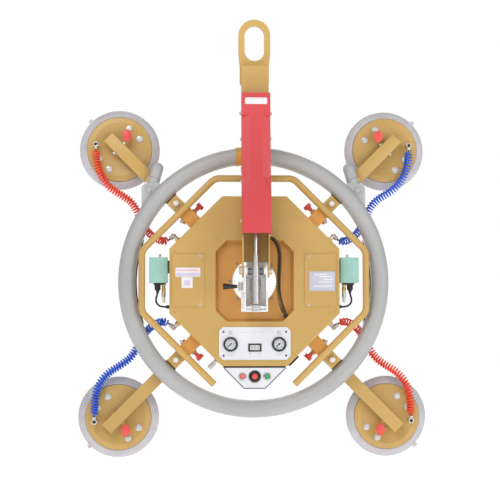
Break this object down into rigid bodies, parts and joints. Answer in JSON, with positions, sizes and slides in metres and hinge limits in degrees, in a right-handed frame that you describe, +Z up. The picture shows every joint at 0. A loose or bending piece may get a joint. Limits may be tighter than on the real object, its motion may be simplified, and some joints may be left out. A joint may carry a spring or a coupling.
{
  "type": "vacuum lifter",
  "caption": "Crane-hung vacuum glass lifter: ring frame with suction cups on arms, tilting and rotating hub, control panel and lift arm with eye.",
  "frame": {"origin": "crown of the lifting eye's slot, where a crane hook bears, in the middle of the eye plate's thickness", "axes": "+Z up along the lift arm, +Y the way the suction cups face, +X to the operator's right when facing the control panel"},
  "size_m": [1.3, 0.365, 1.6125],
  "materials": {
    "yellow_paint": "powder coat, satin",
    "tan_paint": "powder coat, satin",
    "red_paint": "powder coat, satin",
    "grey_paint": "powder coat, satin",
    "panel_paint": "smooth satin panel",
    "galvanised_steel": "zinc plated",
    "zinc_steel": "zinc plated",
    "polished_rod": "ground and plated",
    "cast_aluminium": "as cast",
    "nickel_brass": "nickel plated",
    "teal_plastic": "moulded",
    "black_plastic": "moulded",
    "red_plastic": "moulded",
    "green_plastic": "moulded",
    "grey_rubber": "soft moulded",
    "red_hose": "coiled polyurethane",
    "blue_hose": "coiled polyurethane",
    "black_rubber": "cable sheath"
  },
  "bodies": {
    "lift_arm": {"lifting_eye": "yellow_paint", "arm_channel": "yellow_paint", "arm_cover": "red_paint", "arm_pins": "zinc_steel"},
    "strut_rod": {"strut_rod": "polished_rod"},
    "strut_cylinder": {"strut_cylinder": "zinc_steel"},
    "yoke": {"yoke": "galvanised_steel", "slew_hub": "galvanised_steel"},
    "index_lever": {"index_lever": "zinc_steel", "lever_grip": "black_plastic"},
    "index_pin": {"index_pin": "zinc_steel"},
    "carrier": {"front_cover": "yellow_paint", "rear_casing": "yellow_paint", "index_plate": "tan_paint", "slew_ring": "galvanised_steel", "control_panel": "panel_paint", "panel_instruments": "black_plastic", "control_box": "panel_paint", "handle_tube": "yellow_paint", "ring_frame": "grey_paint", "corner_mounts": "yellow_paint", "lower_arms": "yellow_paint", "hinge_brackets": "grey_paint", "pressure_switches": "teal_plastic", "body_fittings": "nickel_brass", "vacuum_pump": "cast_aluminium", "battery": "black_plastic", "reserve_tanks": "zinc_steel", "control_board": "green_plastic", "coil_cable": "black_rubber", "switch_leads": "black_rubber", "hose_upper_right": "blue_hose", "hose_upper_left": "red_hose", "hose_lower_left": "blue_hose", "hose_lower_right": "red_hose"},
    "hatch_left": {"hatch_left": "yellow_paint"},
    "hatch_right": {"hatch_right": "yellow_paint"},
    "off_button": {"off_button": "red_plastic"},
    "on_button": {"on_button": "green_plastic"},
    "stop_button": {"stop_button": "red_plastic"},
    "needle_left": {"needle_left": "black_plastic"},
    "needle_right": {"needle_right": "black_plastic"},
    "upper_arm_left": {"upper_arm_left": "yellow_paint"},
    "upper_arm_right": {"upper_arm_right": "yellow_paint"},
    "cup_upper_right": {"cup_plate_upper_right": "yellow_paint", "cup_seal_upper_right": "grey_rubber"},
    "valve_handle_upper_right": {"valve_handle_upper_right": "red_plastic"},
    "star_knob_upper_right": {"star_knob_upper_right": "red_plastic"},
    "cup_upper_left": {"cup_plate_upper_left": "yellow_paint", "cup_seal_upper_left": "grey_rubber"},
    "valve_handle_upper_left": {"valve_handle_upper_left": "red_plastic"},
    "star_knob_upper_left": {"star_knob_upper_left": "red_plastic"},
    "cup_lower_left": {"cup_plate_lower_left": "yellow_paint", "cup_seal_lower_left": "grey_rubber"},
    "valve_handle_lower_left": {"valve_handle_lower_left": "red_plastic"},
    "star_knob_lower_left": {"star_knob_lower_left": "red_plastic"},
    "cup_lower_right": {"cup_plate_lower_right": "yellow_paint", "cup_seal_lower_right": "grey_rubber"},
    "valve_handle_lower_right": {"valve_handle_lower_right": "red_plastic"},
    "star_knob_lower_right": {"star_knob_lower_right": "red_plastic"}
  },
  "joints": [
    {"name": "tilt", "type": "hinge", "parent": "lift_arm", "child": "yoke", "pos_m": [0, -0.075, -0.905], "axis": [-1, 0, 0], "range_deg": [0, 90]},
    {"name": "strut_swing", "type": "hinge", "parent": "lift_arm", "child": "strut_rod", "pos_m": [0, -0.08, -0.54], "axis": [-1, 0, 0], "range_deg": [0, 19.24]},
    {"name": "strut_stroke", "type": "slide", "parent": "strut_rod", "child": "strut_cylinder", "axis": [0, 0.02, 0.9998], "range_m": [0, 0.12684]},
    {"name": "frame_rotation", "type": "hinge", "parent": "yoke", "child": "carrier", "pos_m": [0, 0.06, -0.94], "axis": [0, 1, 0], "range_deg": [-180, 180], "deforming": ["coil_cable"]},
    {"name": "index_lever", "type": "hinge", "parent": "yoke", "child": "index_lever", "pos_m": [-0.053, -0.056, -0.962], "axis": [0, 0, -1], "range_deg": [0, 25]},
    {"name": "index_pin", "type": "slide", "parent": "yoke", "child": "index_pin", "axis": [0, 1, 0], "range_m": [0, 0.00901]},
    {"name": "fold_left", "type": "hinge", "parent": "carrier", "child": "upper_arm_left", "pos_m": [-0.367, 0.074, -0.556], "axis": [0.2756, 0, 0.9613], "range_deg": [0, 90], "deforming": ["hose_upper_left"]},
    {"name": "fold_right", "type": "hinge", "parent": "carrier", "child": "upper_arm_right", "pos_m": [0.367, 0.074, -0.556], "axis": [0.2756, 0, -0.9613], "range_deg": [0, 90], "deforming": ["hose_upper_right"]},
    {"name": "hatch_left_hinge", "type": "hinge", "parent": "carrier", "child": "hatch_left", "pos_m": [-0.3005, -0.0128, -0.94], "axis": [0, 0, -1], "range_deg": [0, 110]},
    {"name": "hatch_right_hinge", "type": "hinge", "parent": "carrier", "child": "hatch_right", "pos_m": [0.3005, -0.0128, -0.94], "axis": [0, 0, 1], "range_deg": [0, 110]},
    {"name": "off_press", "type": "slide", "parent": "carrier", "child": "off_button", "axis": [0, 1, 0], "range_m": [0, 0.004], "stiffness_N_per_m": 600},
    {"name": "on_press", "type": "slide", "parent": "carrier", "child": "on_button", "axis": [0, 1, 0], "range_m": [0, 0.004], "stiffness_N_per_m": 600},
    {"name": "stop_press", "type": "slide", "parent": "carrier", "child": "stop_button", "axis": [0, 1, 0], "range_m": [0, 0.004], "stiffness_N_per_m": 800},
    {"name": "needle_left_turn", "type": "hinge", "parent": "carrier", "child": "needle_left", "pos_m": [-0.088, -0.013, -1.17], "axis": [0, 1, 0], "range_deg": [0, 270], "stiffness_Nm_per_rad": 0.0002},
    {"name": "needle_right_turn", "type": "hinge", "parent": "carrier", "child": "needle_right", "pos_m": [0.088, -0.013, -1.17], "axis": [0, 1, 0], "range_deg": [0, 270], "stiffness_Nm_per_rad": 0.0002},
    {"name": "cup_pivot_upper_right", "type": "hinge", "parent": "upper_arm_right", "child": "cup_upper_right", "pos_m": [0.5, 0.112, -0.44], "axis": [-0.7071, 0, 0.7071], "range_deg": [-3, 3]},
    {"name": "valve_upper_right", "type": "hinge", "parent": "cup_upper_right", "child": "valve_handle_upper_right", "pos_m": [0.4703, 0.107, -0.39333], "axis": [0, -1, 0], "range_deg": [0, 90]},
    {"name": "clamp_upper_right", "type": "hinge", "parent": "carrier", "child": "star_knob_upper_right", "pos_m": [0.21072, 0.06, -0.67271], "axis": [-0.7071, 0, 0.7071], "range_deg": [0, 360]},
    {"name": "cup_pivot_upper_left", "type": "hinge", "parent": "upper_arm_left", "child": "cup_upper_left", "pos_m": [-0.5, 0.112, -0.44], "axis": [0.7071, 0, 0.7071], "range_deg": [-3, 3]},
    {"name": "valve_upper_left", "type": "hinge", "parent": "cup_upper_left", "child": "valve_handle_upper_left", "pos_m": [-0.4703, 0.107, -0.39333], "axis": [0, -1, 0], "range_deg": [0, 90]},
    {"name": "clamp_upper_left", "type": "hinge", "parent": "carrier", "child": "star_knob_upper_left", "pos_m": [-0.21072, 0.06, -0.67271], "axis": [0.7071, 0, 0.7071], "range_deg": [0, 360]},
    {"name": "cup_pivot_lower_left", "type": "hinge", "parent": "carrier", "child": "cup_lower_left", "pos_m": [-0.5, 0.112, -1.44], "axis": [0.7071, 0, -0.7071], "range_deg": [-3, 3], "deforming": ["hose_lower_left"]},
    {"name": "valve_lower_left", "type": "hinge", "parent": "cup_lower_left", "child": "valve_handle_lower_left", "pos_m": [-0.4703, 0.107, -1.48667], "axis": [0, -1, 0], "range_deg": [0, 90]},
    {"name": "clamp_lower_left", "type": "hinge", "parent": "carrier", "child": "star_knob_lower_left", "pos_m": [-0.21072, 0.06, -1.20729], "axis": [0.7071, 0, -0.7071], "range_deg": [0, 360]},
    {"name": "cup_pivot_lower_right", "type": "hinge", "parent": "carrier", "child": "cup_lower_right", "pos_m": [0.5, 0.112, -1.44], "axis": [-0.7071, 0, -0.7071], "range_deg": [-3, 3], "deforming": ["hose_lower_right"]},
    {"name": "valve_lower_right", "type": "hinge", "parent": "cup_lower_right", "child": "valve_handle_lower_right", "pos_m": [0.4703, 0.107, -1.48667], "axis": [0, -1, 0], "range_deg": [0, 90]},
    {"name": "clamp_lower_right", "type": "hinge", "parent": "carrier", "child": "star_knob_lower_right", "pos_m": [0.21072, 0.06, -1.20729], "axis": [-0.7071, 0, -0.7071], "range_deg": [0, 360]}
  ],
  "couplings": [
    {"joint": "strut_swing", "follows": "tilt", "ratio": 0.21367},
    {"joint": "strut_stroke", "follows": "tilt", "m_per_rad": 0.080683},
    {"joint": "index_pin", "follows": "index_lever", "m_per_rad": 0.020626}
  ]
}
